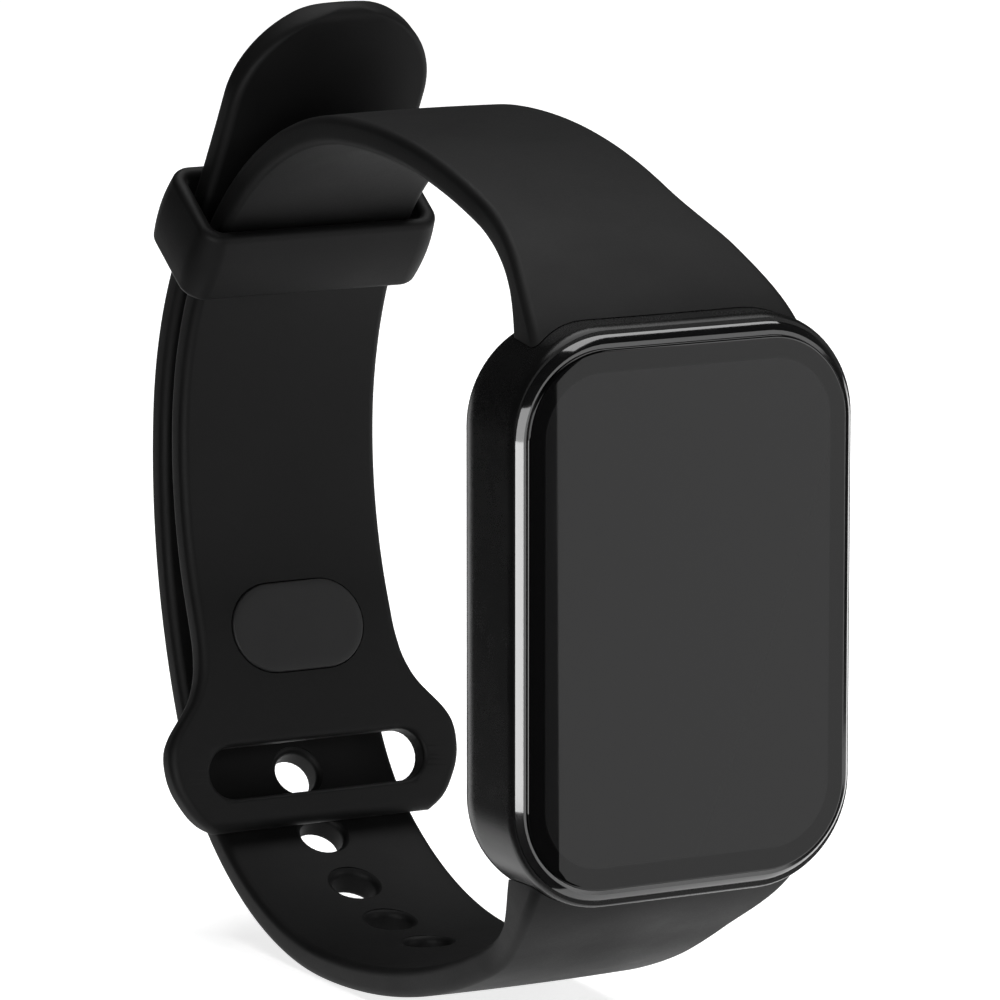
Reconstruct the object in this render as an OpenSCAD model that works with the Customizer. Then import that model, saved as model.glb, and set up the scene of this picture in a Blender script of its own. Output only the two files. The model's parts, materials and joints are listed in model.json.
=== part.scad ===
// Rectangular smartwatch on a closed silicone band.
// Origin: centre of the wrist seat on the back. +X across the band, +Z towards
// the upper band end, +Y away from the display, through the wrist.

/* [Case] */
// Width of the case across the band
case_w = 28.8; // [28.4:0.1:29.4]
// Length of the case between the two band ends
case_l = 43.4; // [43.2:0.1:43.8]
// Corner radius of the case outline
case_r = 8; // [7.6:0.1:8.4]
// Wall thickness at the sides of the case
case_wall = 2; // [1.8:0.1:2.2]

/* [Display] */
// Width of the front glass
glass_w = 27; // [26.8:0.1:27]
// Length of the front glass
glass_l = 40.3; // [40:0.1:40.3]
// Corner radius of the front glass
glass_r = 6.4; // [6:0.1:6.6]
// Thickness of the front glass
glass_t = 0.8; // [0.6:0.1:0.8]

/* [Band] */
// Thickness of each band layer
band_t = 2.3; // [2.1:0.1:2.3]
// Half width of the band at the case
band_root_half_w = 11.6; // [11:0.1:12]
// Half width of the upper band at its narrowest
band_waist_half_w = 8.2; // [8:0.1:8.6]
// Half width of the upper band at the clasp side
band_far_half_w = 8.85; // [8.5:0.05:8.85]
// Half width of the slotted end
band_end_half_w = 12.9; // [12.4:0.1:13.2]
// Radius of the fastening holes
hole_r = 1.8; // [1.7:0.05:1.9]
// Distance between two fastening holes
hole_pitch = 6.55; // [6.5:0.05:6.6]

/* [Keeper] */
// Width of the keeper loop along the band
keeper_len = 6.7; // [5:0.1:7]
// Wall thickness of the keeper loop
keeper_wall = 1.25; // [1:0.05:1.4]

/* [Hidden] */
$fn = 64;
hull_fn = 32;
eps = 0.01;

// Levels along Y, from the display to the wrist seat
glass_front_y = -11;
glass_back_y = glass_front_y + glass_t;
ledge_y = -9.9;
ring_front_y = -10.85;
case_front_y = -10.5;
lip_back_y = -8.1;
case_back_y = -1.4;
back_wall_y = -3;
cover_front_y = -2.2;
cover_back_y = -1.2;
seat_y = 0;

// Ring round the glass
ring_w = 27.5;
ring_l = 40.9;
ring_r = 6.75;
ring_gap = 0.05;

// Inner spaces
cavity_w = case_w - 2 * case_wall + 0.4;
cavity_l = 31.2;
cavity_r = 3;
cavity_front_y = -9.3;
window_w = 25.4;
window_l = 38.6;
window_r = 5.2;
display_w = 24.6;
display_l = 37.8;
cover_w = 22.6;
cover_l = 30.6;
cover_r = 5;
cover_hole_w = 20.8;
cover_hole_l = 28.8;
boss_w = 19;
boss_r = 7.5;
window_glass_r = 5.5;

// Rail channels across both ends of the case
channel_y = -4.9;
channel_z = 18.2;
channel_r = 1.8;
rail_r = 1.75;
rail_half_len = 10.6;
neck_t = 1.5;
neck_gap = 0.05;
neck_half_len = 9.5;
neck_top_z = 22.3;
end_plane_z = 20.9;
end_gap = 0.05;
stop_x = -11.3;

// Latch buttons on the back of both ends
latch_r = 1.3;
latch_fit = 0.05;
latch_out_y = -1.45;
latch_head_t = 0.8;
latch_floor_y = -2.85;
latch_stem_r = 0.6;
latch_tip_y = -3.2;
washer_t = 0.08;
groove_w = 1.6;
groove_y = -4.1;

// Screw bosses at the corners of the inner space
boss_x = 10.9;
boss_z = 13.9;
boss_screw_r = 0.6;

// Motor
motor_y = -6.2;
motor_z = 13.1;
motor_r = 1.9;
shaft_r = 0.4;
shaft_fit = 0.05;
weight_r = 1.75;
hub_wall = 0.3;

// Middle lines of the band layers in the YZ plane: start, first heading in degrees,
// then [length, turn in degrees] for each bend
upper_start = [-7.8, 16.7];
upper_heading = 67.5;
upper_bends = [[12.4, -40.8], [11.4, -10.7], [18, -18.4], [22.8, -47], [19, -38.2], [14.5, -23], [20, 4.8]];
upper_end = 116.6;
lower_start = [-6.9, -18.9];
lower_heading = -56.6;
lower_bends = [[15.6, 32.6], [26.6, 24.3], [19.7, 37.7], [7.5, 23.7], [8, 10], [21.1, 23.3],
               [14.7, 29.2], [24.5, -7.5]];
tongue_hinge = 123.5;
tongue_end = 137.7;
lower_waist_half_w = 9.05;
lower_far_half_w = 8.7;
root_t = 4.4;
end_t = 2;
end_corner = 4.5;
end_round = 1;
first_hole = 40.9;
hole_count = 9;
stud_on_upper = 99.4;
plate_on_upper = 100.6;
stud_on_lower = first_hole + 6 * hole_pitch;
slot_from = 109.4;
slot_to = 113.6;
slot_half_w = 9.75;

// Keeper: it slides along an arc of this centre
keeper_centre = [27.37, 3.72];
keeper_angle = 35.8;
keeper_in_r = 26.7;
keeper_out_r = 33.2;
keeper_half_w = 9.15;

// Stud and its oblong plate
stud_plate_half_l = 6;
stud_plate_half_w = 3.75;
stud_plate_t = 0.5;
stud_r = 1.5;
stud_head_r = 2.6;
stud_head_t = 1;
stud_head_gap = 0.35;

function ease(x) = let (t = max(0, min(1, x))) t * t * (3 - 2 * t);

function heading_at(h, bends, s, i = 0) =
    i >= len(bends) ? h :
    heading_at(h + max(0, min(1, s / bends[i][0])) * bends[i][1], bends, s - bends[i][0], i + 1);

// Point of a band's middle line at distance s, summed in steps of about 1 mm
function point_at(start, h, bends, s) =
    let (n = max(1, ceil(s)), d = s / n)
    start + d * [for (i = 0, y = 0, z = 0; i <= n;
                      y = y + cos(heading_at(h, bends, (i + 0.5) * d)),
                      z = z + sin(heading_at(h, bends, (i + 0.5) * d)), i = i + 1)
                     if (i == n) [y, z]][0];

function upper_at(s) = point_at(upper_start, upper_heading, upper_bends, s);
function upper_dir(s) = heading_at(upper_heading, upper_bends, s);
function lower_at(s) = point_at(lower_start, lower_heading, lower_bends, s);
function lower_dir(s) = heading_at(lower_heading, lower_bends, s);

function corner(s, end, r) = s > end - r ? r - sqrt(max(0, r * r - pow(s - end + r, 2))) : 0;

function upper_half_w(s) =
    band_root_half_w - (band_root_half_w - band_waist_half_w) * ease(s / 19)
    + (band_far_half_w - band_waist_half_w) * ease((s - 40) / 40)
    + (band_end_half_w - band_far_half_w) * ease((s - 101.5) / 7.5)
    - corner(s, upper_end, end_corner);

function upper_half_t(s) =
    (band_t + (root_t - band_t) * (1 - ease(s / 10)) - (band_t - end_t) * ease((s - 100) / 8)) / 2
    - corner(s, upper_end, end_round) * 0.85;

function lower_half_w(s) =
    band_root_half_w - (band_root_half_w - lower_waist_half_w) * ease(s / 14)
    - (lower_waist_half_w - lower_far_half_w) * ease((s - 40) / 40)
    - corner(s, tongue_end, lower_far_half_w - 0.3);

function lower_half_t(s) =
    (band_t + (root_t - band_t) * (1 - ease(s / 10))) / 2 - corner(s, tongue_end, 0.9) * 0.8;

// Ring of eight points across the band: w and t are half sizes, n points to the left
function band_ring(p, h, w, t) =
    let (c = min(0.4, 0.6 * t))
    [for (q = [[w - c, t], [w, t - c], [w, c - t], [w - c, -t], [c - w, -t], [-w, c - t], [-w, t - c], [c - w, t]])
        [q[0], p[0] - q[1] * sin(h), p[1] + q[1] * cos(h)]];

module band_sweep(rings) {
    n = len(rings);
    side_faces = [for (i = [0:n - 2], k = [0:7])
        let (a = 8 * i + k, b = 8 * i + (k + 1) % 8)
        each [[a, a + 8, b + 8], [a, b + 8, b]]];
    caps = [[for (k = [0:7]) k], [for (k = [7:-1:0]) 8 * (n - 1) + k]];
    polyhedron(points = [for (r = rings) each r], faces = concat(side_faces, caps), convexity = 8);
}

// Moves a part made round [0, 0, 0], with its own Z outwards, onto a band's middle line
module on_band(p, h, out) {
    translate([0, p[0], p[1]])
        rotate([h + (out > 0 ? 0 : 180), 0, 0])
            children();
}

// Rounded rectangle in the XZ plane, from y0 to y1
module plate(w, l, r, y0, y1, fn = 64) {
    translate([0, y1, 0])
        rotate([90, 0, 0])
            linear_extrude(y1 - y0)
                union() {
                    square([w - 2 * r, l], center = true);
                    square([w, l - 2 * r], center = true);
                    for (x = [-1, 1], z = [-1, 1])
                        translate([x * (w / 2 - r), z * (l / 2 - r)])
                            circle(r, $fn = fn);
                }
}

module bar(x0, x1, y0, y1, z0, z1) {
    translate([x0, y0, z0])
        cube([x1 - x0, y1 - y0, z1 - z0]);
}

module rod_y(r, x, z, y0, y1) {
    translate([x, y1, z])
        rotate([90, 0, 0])
            cylinder(h = y1 - y0, r = r);
}

module rod_x(r, y, z, x0, x1) {
    translate([x0, y, z])
        rotate([0, 90, 0])
            cylinder(h = x1 - x0, r = r);
}

// Outer shape: level, and how much smaller the outline is there in width, length and radius
module case_outer() {
    hull()
        for (v = [[case_front_y, 0.9, 1.6, 0.6], [-9.9, 0.3, 0.6, 0.2], [-9.2, 0, 0, 0], [-4.5, 0, 0, 0],
                  [-3.2, 0.4, 0.4, 0.1], [-2.2, 1.5, 1.5, 0.5], [case_back_y - eps, 3.6, 3.6, 1.5]])
            plate(case_w - v[1], case_l - v[2], case_r - v[3], v[0], v[0] + eps, hull_fn);
}

module case_body() {
    color([0.07, 0.07, 0.075])
        union() {
            difference() {
                case_outer();
                plate(ring_w + ring_gap, ring_l + ring_gap, ring_r, ring_front_y - 1, ledge_y);
                plate(window_w, window_l, window_r, ledge_y - eps, cavity_front_y + eps);
                plate(cavity_w, cavity_l, cavity_r, cavity_front_y, back_wall_y);
                plate(cover_hole_w, cover_hole_l, cover_r - 1, back_wall_y - eps, cover_front_y);
                plate(cover_w + 0.1, cover_l + 0.1, cover_r, cover_front_y - 0.15, 0);
                for (side = [-1, 1]) {
                    rod_x(channel_r, channel_y, side * channel_z, stop_x, case_w);
                    channel_neck(side);
                    end_rebate(side);
                    rod_y(latch_r + latch_fit, 0, side * channel_z, latch_floor_y, 0);
                    rod_y(latch_stem_r + latch_fit, 0, side * channel_z, channel_y, latch_floor_y + eps);
                }
            }
            for (x = [-1, 1], z = [-1, 1])
                difference() {
                    rod_y(1.3, x * boss_x, z * boss_z, -8.4, back_wall_y + eps);
                    rod_y(boss_screw_r, x * boss_x, z * boss_z, -8.4 - eps, -4.4);
                }
        }
}

module channel_neck(side) {
    h = end_plane_z - channel_z + 1;
    translate([stop_x, channel_y - neck_t / 2 - neck_gap, side > 0 ? channel_z : -channel_z - h])
        cube([case_w, neck_t + 2 * neck_gap, h]);
}

module end_rebate(side) {
    translate([-case_w, lip_back_y, side > 0 ? end_plane_z : -end_plane_z - 5])
        cube([2 * case_w, 10, 5]);
}

module bezel_ring() {
    color([0.02, 0.02, 0.02])
        difference() {
            plate(ring_w, ring_l, ring_r, ring_front_y, ledge_y);
            plate(glass_w + ring_gap, glass_l + ring_gap, glass_r, ring_front_y - 1, ledge_y + 1);
        }
}

module front_glass() {
    color([0.03, 0.03, 0.035])
        plate(glass_w, glass_l, glass_r, glass_front_y, glass_back_y);
}

module glass_adhesive() {
    color([0.1, 0.1, 0.1])
        difference() {
            plate(glass_w - 0.2, glass_l - 0.2, glass_r, glass_back_y, ledge_y);
            plate(window_w, window_l, window_r, glass_back_y - 1, ledge_y + 1);
        }
}

module display_panel() {
    color([0.12, 0.12, 0.13])
        plate(display_w, display_l, 4.6, glass_back_y, glass_back_y + 0.8);
}

module display_flex() {
    color([0.72, 0.45, 0.12])
        union() {
            bar(-4, 4, -9.4, -4.2, -15.5, -15.35);
            bar(-4, 4, -4.2, -4.05, -15.5, 0.6);
        }
}

module mid_frame() {
    color([0.55, 0.56, 0.58])
        difference() {
            plate(24.2, 30, 3, -9, -8.4);
            for (x = [-1, 1], z = [-1, 1])
                rod_y(0.75, x * boss_x, z * boss_z, -10, -8);
        }
}

module frame_screws() {
    color([0.7, 0.7, 0.72])
        for (x = [-1, 1], z = [-1, 1])
            union() {
                rod_y(1.2, x * boss_x, z * boss_z, -9.3, -9);
                rod_y(boss_screw_r - 0.03, x * boss_x, z * boss_z, -9 - eps, -5.4);
            }
}

module battery() {
    color([0.75, 0.76, 0.78])
        plate_at(18.4, 14, 1, -8.3, -4.4, 0, -8);
}

module plate_at(w, l, r, y0, y1, x, z) {
    translate([x, 0, z])
        plate(w, l, r, y0, y1);
}

module battery_lead() {
    color([0.75, 0.1, 0.08])
        union() {
            bar(5.5, 8.5, -5.2, -4.9, -1, 1.6);
            bar(5.5, 8.5, -5.8, -4.9, 1.6, 3.4);
        }
}

module main_board() {
    color([0.06, 0.25, 0.14])
        plate_at(18.8, 10.4, 0.8, -6.6, -5.8, 0, 5.4);
}

module board_chips() {
    color([0.09, 0.09, 0.1])
        union() {
            bar(3.6, 8.4, -7.5, -6.6, 1.4, 5);
            bar(3.6, 6.2, -7.3, -6.6, 6, 8.8);
            bar(7, 8.8, -7.1, -6.6, 6.2, 9.6);
            bar(-8, -5.4, -5.8, -5.1, 7, 9.6);
        }
}

module shield_can() {
    color([0.8, 0.8, 0.82])
        plate_at(10.4, 8.6, 0.5, -8.1, -6.6, -3.2, 5.4);
}

module motor_can() {
    color([0.7, 0.7, 0.72])
        difference() {
            rod_x(motor_r, motor_y, motor_z, -9, 0);
            rod_x(shaft_r + shaft_fit, motor_y, motor_z, -5, 1);
        }
}

module motor_shaft() {
    color([0.85, 0.85, 0.86])
        rod_x(shaft_r, motor_y, motor_z, -4.9, 4.2);
}

// Half disc on the shaft, so that its weight is off the axis
module motor_weight() {
    color([0.5, 0.5, 0.52])
        difference() {
            rod_x(weight_r, motor_y, motor_z, 0.6, 4);
            bar(0, 5, motor_y - 3, motor_y + 3, motor_z + shaft_r + hub_wall, motor_z + 3);
            rod_x(shaft_r, motor_y, motor_z, 0, 5);
        }
}

module antenna_strip() {
    color([0.78, 0.5, 0.2])
        bar(11.7, 12.1, -8, -4, -10, 10);
}

module sensor_board() {
    color([0.06, 0.25, 0.14])
        plate_at(12, 12, 1, -3.6, -3, 0, 0);
}

module sensor_leds() {
    color([0.2, 0.75, 0.3])
        for (x = [-2.6, 0, 2.6])
            bar(x - 0.8, x + 0.8, -3, -2.4, -0.8, 0.8);
}

module sensor_flex() {
    color([0.72, 0.45, 0.12])
        union() {
            bar(-2, 2, -3.75, -3.6, 4, 9);
            bar(-2, 2, -5.8, -3.6, 8.85, 9);
        }
}

module sensor_window() {
    color([0.05, 0.05, 0.06])
        rod_y(window_glass_r, 0, 0, -0.8, seat_y);
}

module back_cover() {
    color([0.06, 0.06, 0.065])
        difference() {
            union() {
                plate(cover_w, cover_l, cover_r, cover_front_y, cover_back_y);
                plate(boss_w, boss_w, boss_r, cover_back_y - eps, seat_y);
            }
            rod_y(window_glass_r, 0, 0, -0.8, 1);
            rod_y(window_glass_r - 0.7, 0, 0, -3, -0.7);
            for (x = [-1, 1])
                rod_y(1.1, x * 3.2, -12, -3, 0);
        }
}

module back_gasket() {
    color([0.15, 0.15, 0.15])
        difference() {
            plate(cover_w - 0.1, cover_l - 0.1, cover_r, cover_front_y - 0.15, cover_front_y);
            plate(cover_hole_w + 0.2, cover_hole_l + 0.2, cover_r - 1, -3, 0);
        }
}

module charging_contacts() {
    color([0.85, 0.7, 0.35])
        for (x = [-1, 1])
            rod_y(1.1, x * 3.2, -12, -2.5, cover_back_y + 0.05);
}

module charging_magnets() {
    color([0.6, 0.6, 0.62])
        for (x = [-1, 1])
            rod_y(1.5, x * 7.5, -11.5, -3.6, -2.25);
}

// Flat wave washers under the latch buttons
module latch_springs() {
    color([0.75, 0.75, 0.76])
        for (side = [-1, 1])
            difference() {
                rod_y(1.2, 0, side * channel_z, latch_floor_y, latch_floor_y + washer_t);
                rod_y(0.72, 0, side * channel_z, -4, 0);
            }
}

module latch_button(side) {
    color([0.2, 0.2, 0.21])
        union() {
            rod_y(latch_r, 0, side * channel_z, latch_out_y - latch_head_t, latch_out_y);
            rod_y(latch_stem_r, 0, side * channel_z, latch_tip_y, latch_out_y - latch_head_t + eps);
        }
}

module top_latch_button() {
    latch_button(1);
}

module bottom_latch_button() {
    latch_button(-1);
}

// Neck of a rail, which the band is moulded round
module rail_neck(side, z_from) {
    h = neck_top_z - z_from;
    translate([-neck_half_len, channel_y - neck_t / 2, side > 0 ? z_from : -neck_top_z])
        cube([2 * neck_half_len, neck_t, h]);
}

module rail(side) {
    color([0.3, 0.3, 0.31])
        difference() {
            union() {
                rod_x(rail_r, channel_y, side * channel_z, -rail_half_len, rail_half_len);
                rail_neck(side, channel_z);
            }
            translate([-rail_half_len - 1, groove_y, side * channel_z - groove_w / 2])
                cube([2 * rail_half_len + 2, 2, groove_w]);
        }
}

module upper_rail() {
    rail(1);
}

module lower_rail() {
    rail(-1);
}

module root_cut(side) {
    h = end_plane_z + end_gap;
    translate([-20, -20, side > 0 ? 0 : -h])
        cube([40, 30, h]);
}

module upper_band() {
    stations = concat([for (s = [0:2:100]) s], [for (s = [101:1:111]) s],
                      [for (s = [111.5:0.5:115.5]) s], [115.8, 116.1, 116.35, 116.5]);
    color([0.11, 0.11, 0.115])
        difference() {
            band_sweep([for (s = stations) band_ring(upper_at(s), upper_dir(s), upper_half_w(s), upper_half_t(s))]);
            root_cut(1);
            rail_neck(1, channel_z);
            on_band(upper_at((slot_from + slot_to) / 2), upper_dir((slot_from + slot_to) / 2), 1)
                slot_shape();
            on_band(upper_at(stud_on_upper), upper_dir(stud_on_upper), 1)
                cylinder(h = 8, r = stud_r, center = true);
            on_band(upper_at(plate_on_upper), upper_dir(plate_on_upper), 1)
                translate([0, 0, -band_t / 2 - 1])
                    oblong(stud_plate_half_l, stud_plate_half_w, 1 + stud_plate_t);
        }
}

// Slot with full round ends, right through the band
module slot_shape() {
    r = (slot_to - slot_from) / 2;
    translate([0, 0, -5])
        linear_extrude(10)
            union() {
                square([2 * (slot_half_w - r), 2 * r], center = true);
                for (x = [-1, 1])
                    translate([x * (slot_half_w - r), 0])
                        circle(r);
            }
}

module oblong(half_l, half_w, h) {
    linear_extrude(h)
        union() {
            square([2 * (half_l - half_w), 2 * half_w], center = true);
            for (x = [-1, 1])
                translate([x * (half_l - half_w), 0])
                    circle(half_w);
        }
}

module lower_band() {
    stations = [for (s = [0:2:122]) s];
    color([0.11, 0.11, 0.115])
        difference() {
            band_sweep([for (s = concat(stations, [tongue_hinge]))
                band_ring(lower_at(s), lower_dir(s), lower_half_w(s), lower_half_t(s))]);
            root_cut(-1);
            rail_neck(-1, channel_z);
            for (i = [0:hole_count - 1])
                let (s = first_hole + i * hole_pitch)
                    on_band(lower_at(s), lower_dir(s), 1)
                        cylinder(h = 8, r = hole_r, center = true);
            on_band(lower_at(tongue_hinge), 0, 1)
                rotate([0, 90, 0])
                    cylinder(h = 30, r = band_t / 2 + 0.2, center = true);
        }
}

module tongue_tip() {
    stations = concat([for (s = [tongue_hinge:1:128]) s], [for (s = [129:0.75:136.5]) s], [137, 137.3, 137.5, 137.6]);
    color([0.11, 0.11, 0.115])
        union() {
            band_sweep([for (s = stations) band_ring(lower_at(s), lower_dir(s), lower_half_w(s), lower_half_t(s))]);
            on_band(lower_at(tongue_hinge), 0, 1)
                rotate([0, 90, 0])
                    cylinder(h = 2 * lower_far_half_w, r = band_t / 2, center = true);
        }
}

// Oblong plate in the inner face of the upper band
module stud_plate() {
    color([0.14, 0.14, 0.145])
        difference() {
            on_band(upper_at(plate_on_upper), upper_dir(plate_on_upper), 1)
                translate([0, 0, -band_t / 2 - 0.15])
                    oblong(stud_plate_half_l - 0.08, stud_plate_half_w - 0.08, stud_plate_t + 0.15);
            on_band(upper_at(stud_on_upper), upper_dir(stud_on_upper), 1)
                cylinder(h = 8, r = stud_r - 0.3, center = true);
        }
}

// Stud through both band layers
module clasp_stud() {
    reach = norm(lower_at(stud_on_lower) - upper_at(stud_on_upper)) + band_t / 2;
    color([0.25, 0.25, 0.26])
        on_band(upper_at(stud_on_upper), upper_dir(stud_on_upper), 1)
            union() {
                translate([0, 0, -band_t / 2 - 0.15])
                    cylinder(h = reach + band_t / 2 + 0.15 + stud_head_gap, r = stud_r - 0.3);
                translate([0, 0, reach + stud_head_gap])
                    cylinder(h = stud_head_t, r = stud_head_r);
            }
}

module keeper_loop() {
    mid_r = (keeper_in_r + keeper_out_r) / 2;
    open_t = keeper_out_r - keeper_in_r;
    color([0.11, 0.11, 0.115])
        translate([0, keeper_centre[0], keeper_centre[1]])
            rotate([keeper_angle, 0, 0])
                translate([0, mid_r, 0])
                    difference() {
                        linear_extrude(keeper_len, center = true)
                            rounded_rect(2 * (keeper_half_w + keeper_wall), open_t + 2 * keeper_wall, 2.4);
                        linear_extrude(keeper_len + 1, center = true)
                            rounded_rect(2 * keeper_half_w, open_t, 1.2);
                    }
}

module rounded_rect(w, l, r) {
    union() {
        square([w - 2 * r, l], center = true);
        square([w, l - 2 * r], center = true);
        for (x = [-1, 1], y = [-1, 1])
            translate([x * (w / 2 - r), y * (l / 2 - r)])
                circle(r);
    }
}

case_body();
bezel_ring();
front_glass();
glass_adhesive();
display_panel();
display_flex();
mid_frame();
frame_screws();
battery();
battery_lead();
main_board();
board_chips();
shield_can();
motor_can();
motor_shaft();
motor_weight();
antenna_strip();
sensor_board();
sensor_leds();
sensor_flex();
sensor_window();
back_cover();
back_gasket();
charging_contacts();
charging_magnets();
latch_springs();
top_latch_button();
bottom_latch_button();
upper_band();
lower_band();
upper_rail();
lower_rail();
stud_plate();
clasp_stud();
keeper_loop();
tongue_tip();
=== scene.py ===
import bpy
import bmesh
import json
import math
from mathutils import Matrix, Vector


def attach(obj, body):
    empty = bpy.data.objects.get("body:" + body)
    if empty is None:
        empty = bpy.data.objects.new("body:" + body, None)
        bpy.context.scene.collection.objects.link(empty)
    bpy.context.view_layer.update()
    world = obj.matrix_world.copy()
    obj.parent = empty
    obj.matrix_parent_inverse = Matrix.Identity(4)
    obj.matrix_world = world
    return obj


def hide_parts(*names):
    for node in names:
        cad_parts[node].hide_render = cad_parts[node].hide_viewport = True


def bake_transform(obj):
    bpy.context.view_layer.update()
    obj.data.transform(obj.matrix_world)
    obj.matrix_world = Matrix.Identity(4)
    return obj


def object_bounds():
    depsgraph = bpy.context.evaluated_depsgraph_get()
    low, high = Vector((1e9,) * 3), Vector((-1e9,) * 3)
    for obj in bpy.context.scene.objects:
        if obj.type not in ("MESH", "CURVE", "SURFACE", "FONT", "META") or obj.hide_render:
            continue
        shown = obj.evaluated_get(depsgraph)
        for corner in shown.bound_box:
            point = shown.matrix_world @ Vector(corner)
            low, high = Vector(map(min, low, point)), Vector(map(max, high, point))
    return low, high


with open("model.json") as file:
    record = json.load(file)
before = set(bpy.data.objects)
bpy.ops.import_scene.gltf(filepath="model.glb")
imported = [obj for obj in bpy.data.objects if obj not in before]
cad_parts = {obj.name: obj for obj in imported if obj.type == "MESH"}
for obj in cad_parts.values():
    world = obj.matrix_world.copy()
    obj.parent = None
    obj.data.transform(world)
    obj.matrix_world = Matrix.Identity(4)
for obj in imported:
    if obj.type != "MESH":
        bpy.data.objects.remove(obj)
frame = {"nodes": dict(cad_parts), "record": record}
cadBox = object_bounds()
mm = 0.001
print("frame loaded:", len(frame["nodes"]), "nodes")

# Camera, light and floor
studio = {
    "cameraAt": (-0.27020, -0.46977, 0.10086),
    "cameraRight": (0.8746, -0.4848, 0.0),
    "cameraUp": (0.0830, 0.1496, 0.9852),
    "cameraBack": (-0.4777, -0.8617, 0.1711),
    "lens": 265.2,
    "horizon": 0.70, "zenith": 0.35, "zenithFrom": 0.8,
    "floorSize": 9.0, "floorTint": 0.8, "floorRough": 0.7, "floorGlow": 0.80,
}


def buildStudio(look):
    scene = bpy.context.scene
    scene.view_settings.view_transform = "Standard"
    camera = bpy.data.objects.new("studioCamera", bpy.data.cameras.new("studioCamera"))
    scene.collection.objects.link(camera)
    turn = Matrix((look["cameraRight"], look["cameraUp"], look["cameraBack"])).transposed()
    camera.matrix_world = Matrix.Translation(look["cameraAt"]) @ turn.to_4x4()
    camera.data.lens = look["lens"]
    camera.data.clip_start = 0.02
    camera.data.clip_end = 50
    scene.camera = camera

    world = bpy.data.worlds.new("paleRoom")
    world.use_nodes = True
    tree = world.node_tree
    height = tree.nodes.new("ShaderNodeSeparateXYZ")
    tree.links.new(tree.nodes.new("ShaderNodeTexCoord").outputs["Generated"], height.inputs[0])
    dim = tree.nodes.new("ShaderNodeMapRange")
    tree.links.new(height.outputs["Z"], dim.inputs["Value"])
    for socket, value in (("From Min", 0.0), ("From Max", look["zenithFrom"]), ("To Min", look["horizon"]),
                          ("To Max", look["zenith"])):
        dim.inputs[socket].default_value = value
    tree.links.new(dim.outputs[0], tree.nodes["Background"].inputs["Strength"])
    scene.world = world

    floorZ = cadBox[0].z
    half = look["floorSize"] / 2
    mesh = bpy.data.meshes.new("paleFloor")
    corners = [(-half, -half, floorZ), (half, -half, floorZ), (half, half, floorZ), (-half, half, floorZ)]
    mesh.from_pydata(corners, [], [(0, 1, 2, 3)])
    floor = bpy.data.objects.new("paleFloor", mesh)
    scene.collection.objects.link(floor)
    floor.data.materials.append(plainPaint("floorPaint", look["floorTint"], look["floorRough"],
                                           look["floorGlow"]))
    return floor


def plainPaint(name, tint, rough, glow):
    paint = bpy.data.materials.new(name)
    paint.use_nodes = True
    shader = paint.node_tree.nodes["Principled BSDF"]
    shader.inputs["Base Color"].default_value = (tint, tint, tint, 1)
    shader.inputs["Roughness"].default_value = rough
    shader.inputs["Emission Color"].default_value = (1, 1, 1, 1)
    shader.inputs["Emission Strength"].default_value = glow
    return paint


def softbox(name, at, aim, size, power):
    lamp = bpy.data.lights.new(name, "AREA")
    lamp.size = size
    lamp.energy = power
    box = bpy.data.objects.new(name, lamp)
    bpy.context.scene.collection.objects.link(box)
    box.location = at
    box.rotation_euler = (Vector(aim) - Vector(at)).to_track_quat("-Z", "Y").to_euler()
    box.visible_camera = False
    return box


# A card that only glossy surfaces see: dark ones shade the gloss, lit ones draw the bright lines of the rim
def reflector(name, verts, faces, glow=0.0):
    mesh = bpy.data.meshes.new(name)
    mesh.from_pydata(verts, [], faces)
    board = bpy.data.objects.new(name, mesh)
    bpy.context.scene.collection.objects.link(board)
    board.data.materials.append(plainPaint(name + "Cloth", flags["clothTint"], flags["clothRough"], glow))
    for ray in ("camera", "diffuse", "shadow", "transmission"):
        setattr(board, "visible_" + ray, False)
    return board


def curvedWall(centre, radius, azimuths, heights, count=24):
    verts = []
    for i in range(count + 1):
        a = math.radians(azimuths[0] + (azimuths[1] - azimuths[0]) * i / count)
        verts += [(centre[0] + radius * math.sin(a), centre[1] - radius * math.cos(a), z) for z in heights]
    return verts, [(2 * i, 2 * i + 2, 2 * i + 3, 2 * i + 1) for i in range(count)]


def hangFlags(look):
    low = cadBox[0].z + look["overFloor"]
    x, y = look["edgeFrom"]
    rim = curvedWall((x, y), look["reach"], (look["edgeAzimuth"], look["backAzimuth"]), (low,))[0]
    near = (look["nearSide"][0], look["nearSide"][1], low)
    outline = [(x, y, low)] + rim + [near]
    reflector("floorFlag", outline, [tuple(range(len(outline)))])
    reflector("wallFlag", *curvedWall((x, y), look["reach"], (look["edgeAzimuth"], look["backAzimuth"]),
                                      (low, look["wallHeight"])))
    card = curvedWall((0, 0), look["cardRadius"], look["cardAzimuths"], (low, look["cardHeight"]))
    reflector("rimCard", *card, glow=look["cardGlow"])
    card = curvedWall((0, 0), look["cardRadius"], look["cornerAzimuths"], look["cornerHeights"])
    reflector("cornerCard", *card, glow=look["cornerGlow"])


# azimuths in degrees from straight ahead of the glass, positive to its right
flags = {"edgeFrom": (-0.0108, -0.011), "edgeAzimuth": 29.4, "backAzimuth": -168.0, "reach": 0.60,
         "nearSide": (-0.03, 0.012), "wallHeight": 0.55, "overFloor": 0.0003,
         "clothTint": 0.012, "clothRough": 0.9,
         "cardRadius": 0.10, "cardAzimuths": (-56.0, -92.0), "cardHeight": 0.006, "cardGlow": 9.0,
         "cornerAzimuths": (-20.0, -80.0), "cornerHeights": (0.006, 0.05), "cornerGlow": 4.0}

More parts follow.
